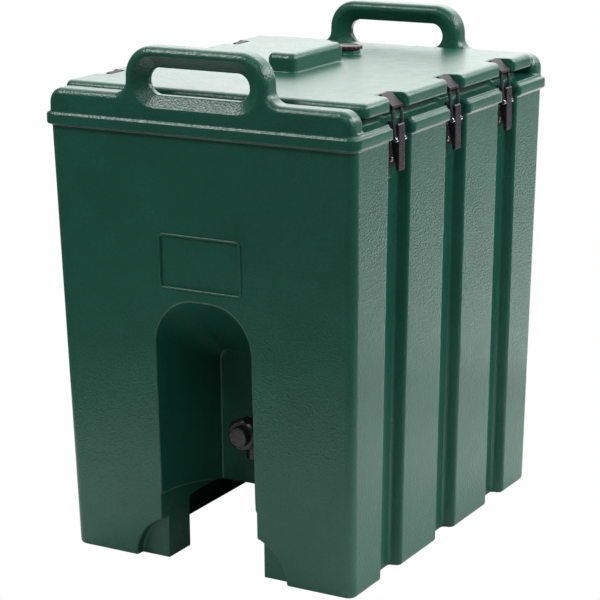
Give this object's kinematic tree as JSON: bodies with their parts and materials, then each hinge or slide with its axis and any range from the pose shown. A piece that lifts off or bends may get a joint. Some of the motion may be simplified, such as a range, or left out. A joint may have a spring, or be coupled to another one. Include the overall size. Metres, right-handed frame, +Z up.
{
  "type": "insulated beverage container",
  "caption": "Tall insulated beverage container with moulded carry handles, lift-off lid, side draw latches, vent cap and a tap in an arched recess.",
  "frame": {"origin": "centre of the footprint, on the surface it stands on", "axes": "+Z up, +X to the right seen from the tap side, the tap faces -Y"},
  "size_m": [0.419, 0.521, 0.628],
  "materials": {
    "green_plastic": "leather-grained moulded polyethylene, satin",
    "foam": "rigid polyurethane foam, matte",
    "nylon_dark": "dark grey moulded nylon, satin gloss",
    "nylon_black": "black moulded nylon",
    "tap_plastic": "black moulded plastic, gloss",
    "vent_plastic": "dark brown moulded plastic, satin gloss",
    "seal_rubber": "grey silicone, matte",
    "steel": "stainless steel",
    "rivet_metal": "domed rivet heads"
  },
  "bodies": {
    "container": {"container_shell": "green_plastic", "container_foam": "foam", "latch_rivets": "rivet_metal", "tap_body": "tap_plastic", "tap_outer_gasket": "seal_rubber", "tap_inner_gasket": "seal_rubber", "tap_nut": "tap_plastic", "tap_bonnet": "tap_plastic", "tap_spring": "steel", "latch_right_front_base": "nylon_dark", "latch_right_front_lever_pin": "steel", "latch_right_middle_base": "nylon_dark", "latch_right_middle_lever_pin": "steel", "latch_right_rear_base": "nylon_dark", "latch_right_rear_lever_pin": "steel", "latch_left_front_base": "nylon_dark", "latch_left_front_lever_pin": "steel", "latch_left_middle_base": "nylon_dark", "latch_left_middle_lever_pin": "steel", "latch_left_rear_base": "nylon_dark", "latch_left_rear_lever_pin": "steel"},
    "lid": {"lid_shell": "green_plastic", "lid_foam": "foam", "lid_gasket": "seal_rubber", "vent_insert": "nylon_black"},
    "vent_seal": {"vent_seal": "seal_rubber"},
    "vent_cap": {"vent_cap": "vent_plastic"},
    "tap_button": {"tap_button": "tap_plastic", "tap_stem": "steel", "tap_valve": "seal_rubber"},
    "latch_right_front_lever": {"latch_right_front_lever": "nylon_dark"},
    "latch_right_front_hook_pin": {"latch_right_front_hook_pin": "steel"},
    "latch_right_front_hook": {"latch_right_front_hook": "nylon_dark"},
    "latch_right_middle_lever": {"latch_right_middle_lever": "nylon_dark"},
    "latch_right_middle_hook_pin": {"latch_right_middle_hook_pin": "steel"},
    "latch_right_middle_hook": {"latch_right_middle_hook": "nylon_dark"},
    "latch_right_rear_lever": {"latch_right_rear_lever": "nylon_dark"},
    "latch_right_rear_hook_pin": {"latch_right_rear_hook_pin": "steel"},
    "latch_right_rear_hook": {"latch_right_rear_hook": "nylon_dark"},
    "latch_left_front_lever": {"latch_left_front_lever": "nylon_dark"},
    "latch_left_front_hook_pin": {"latch_left_front_hook_pin": "steel"},
    "latch_left_front_hook": {"latch_left_front_hook": "nylon_dark"},
    "latch_left_middle_lever": {"latch_left_middle_lever": "nylon_dark"},
    "latch_left_middle_hook_pin": {"latch_left_middle_hook_pin": "steel"},
    "latch_left_middle_hook": {"latch_left_middle_hook": "nylon_dark"},
    "latch_left_rear_lever": {"latch_left_rear_lever": "nylon_dark"},
    "latch_left_rear_hook_pin": {"latch_left_rear_hook_pin": "steel"},
    "latch_left_rear_hook": {"latch_left_rear_hook": "nylon_dark"}
  },
  "joints": [
    {"name": "lid_lift", "type": "slide", "parent": "container", "child": "lid", "axis": [0, 0, 1], "range_m": [0, 0.1]},
    {"name": "vent_rise", "type": "slide", "parent": "lid", "child": "vent_seal", "axis": [0, 0, 1], "range_m": [0, 0.006]},
    {"name": "vent_turn", "type": "hinge", "parent": "vent_seal", "child": "vent_cap", "pos_m": [0, 0.112, 0.584], "axis": [0, 0, 1], "range_deg": [0, 721]},
    {"name": "tap_press", "type": "slide", "parent": "container", "child": "tap_button", "axis": [0, 1, 0], "range_m": [0, 0.005], "stiffness_N_per_m": 900, "springref_m": -0.008, "deforming": ["tap_spring"]},
    {"name": "latch_right_front_lever_swing", "type": "hinge", "parent": "container", "child": "latch_right_front_lever", "pos_m": [0.2, -0.146, 0.5395], "axis": [0, -1, 0], "range_deg": [0, 100]},
    {"name": "latch_right_front_hook_throw", "type": "hinge", "parent": "latch_right_front_lever", "child": "latch_right_front_hook_pin", "pos_m": [0.2035, -0.146, 0.526], "axis": [0, 1, 0], "range_deg": [0, 155]},
    {"name": "latch_right_front_hook_tilt", "type": "hinge", "parent": "latch_right_front_hook_pin", "child": "latch_right_front_hook", "pos_m": [0.2035, -0.146, 0.526], "axis": [0, 1, 0], "range_deg": [0, 120.5]},
    {"name": "latch_right_middle_lever_swing", "type": "hinge", "parent": "container", "child": "latch_right_middle_lever", "pos_m": [0.2, 0, 0.5395], "axis": [0, -1, 0], "range_deg": [0, 100]},
    {"name": "latch_right_middle_hook_throw", "type": "hinge", "parent": "latch_right_middle_lever", "child": "latch_right_middle_hook_pin", "pos_m": [0.2035, 0, 0.526], "axis": [0, 1, 0], "range_deg": [0, 155]},
    {"name": "latch_right_middle_hook_tilt", "type": "hinge", "parent": "latch_right_middle_hook_pin", "child": "latch_right_middle_hook", "pos_m": [0.2035, 0, 0.526], "axis": [0, 1, 0], "range_deg": [0, 120.5]},
    {"name": "latch_right_rear_lever_swing", "type": "hinge", "parent": "container", "child": "latch_right_rear_lever", "pos_m": [0.2, 0.146, 0.5395], "axis": [0, -1, 0], "range_deg": [0, 100]},
    {"name": "latch_right_rear_hook_throw", "type": "hinge", "parent": "latch_right_rear_lever", "child": "latch_right_rear_hook_pin", "pos_m": [0.2035, 0.146, 0.526], "axis": [0, 1, 0], "range_deg": [0, 155]},
    {"name": "latch_right_rear_hook_tilt", "type": "hinge", "parent": "latch_right_rear_hook_pin", "child": "latch_right_rear_hook", "pos_m": [0.2035, 0.146, 0.526], "axis": [0, 1, 0], "range_deg": [0, 120.5]},
    {"name": "latch_left_front_lever_swing", "type": "hinge", "parent": "container", "child": "latch_left_front_lever", "pos_m": [-0.2, -0.146, 0.5395], "axis": [0, 1, 0], "range_deg": [0, 100]},
    {"name": "latch_left_front_hook_throw", "type": "hinge", "parent": "latch_left_front_lever", "child": "latch_left_front_hook_pin", "pos_m": [-0.2035, -0.146, 0.526], "axis": [0, -1, 0], "range_deg": [0, 155]},
    {"name": "latch_left_front_hook_tilt", "type": "hinge", "parent": "latch_left_front_hook_pin", "child": "latch_left_front_hook", "pos_m": [-0.2035, -0.146, 0.526], "axis": [0, -1, 0], "range_deg": [0, 120.5]},
    {"name": "latch_left_middle_lever_swing", "type": "hinge", "parent": "container", "child": "latch_left_middle_lever", "pos_m": [-0.2, 0, 0.5395], "axis": [0, 1, 0], "range_deg": [0, 100]},
    {"name": "latch_left_middle_hook_throw", "type": "hinge", "parent": "latch_left_middle_lever", "child": "latch_left_middle_hook_pin", "pos_m": [-0.2035, 0, 0.526], "axis": [0, -1, 0], "range_deg": [0, 155]},
    {"name": "latch_left_middle_hook_tilt", "type": "hinge", "parent": "latch_left_middle_hook_pin", "child": "latch_left_middle_hook", "pos_m": [-0.2035, 0, 0.526], "axis": [0, -1, 0], "range_deg": [0, 120.5]},
    {"name": "latch_left_rear_lever_swing", "type": "hinge", "parent": "container", "child": "latch_left_rear_lever", "pos_m": [-0.2, 0.146, 0.5395], "axis": [0, 1, 0], "range_deg": [0, 100]},
    {"name": "latch_left_rear_hook_throw", "type": "hinge", "parent": "latch_left_rear_lever", "child": "latch_left_rear_hook_pin", "pos_m": [-0.2035, 0.146, 0.526], "axis": [0, -1, 0], "range_deg": [0, 155]},
    {"name": "latch_left_rear_hook_tilt", "type": "hinge", "parent": "latch_left_rear_hook_pin", "child": "latch_left_rear_hook", "pos_m": [-0.2035, 0.146, 0.526], "axis": [0, -1, 0], "range_deg": [0, 120.5]}
  ],
  "couplings": [
    {"joint": "vent_turn", "follows": "vent_rise", "rad_per_m": 2094.4},
    {"joint": "latch_right_front_hook_throw", "follows": "lid_lift", "rad_per_m": 27},
    {"joint": "latch_right_front_hook_tilt", "follows": "latch_right_front_lever_swing", "ratio": 1.2},
    {"joint": "latch_right_middle_hook_throw", "follows": "lid_lift", "rad_per_m": 27},
    {"joint": "latch_right_middle_hook_tilt", "follows": "latch_right_middle_lever_swing", "ratio": 1.2},
    {"joint": "latch_right_rear_hook_throw", "follows": "lid_lift", "rad_per_m": 27},
    {"joint": "latch_right_rear_hook_tilt", "follows": "latch_right_rear_lever_swing", "ratio": 1.2},
    {"joint": "latch_left_front_hook_throw", "follows": "lid_lift", "rad_per_m": 27},
    {"joint": "latch_left_front_hook_tilt", "follows": "latch_left_front_lever_swing", "ratio": 1.2},
    {"joint": "latch_left_middle_hook_throw", "follows": "lid_lift", "rad_per_m": 27},
    {"joint": "latch_left_middle_hook_tilt", "follows": "latch_left_middle_lever_swing", "ratio": 1.2},
    {"joint": "latch_left_rear_hook_throw", "follows": "lid_lift", "rad_per_m": 27},
    {"joint": "latch_left_rear_hook_tilt", "follows": "latch_left_rear_lever_swing", "ratio": 1.2}
  ]
}
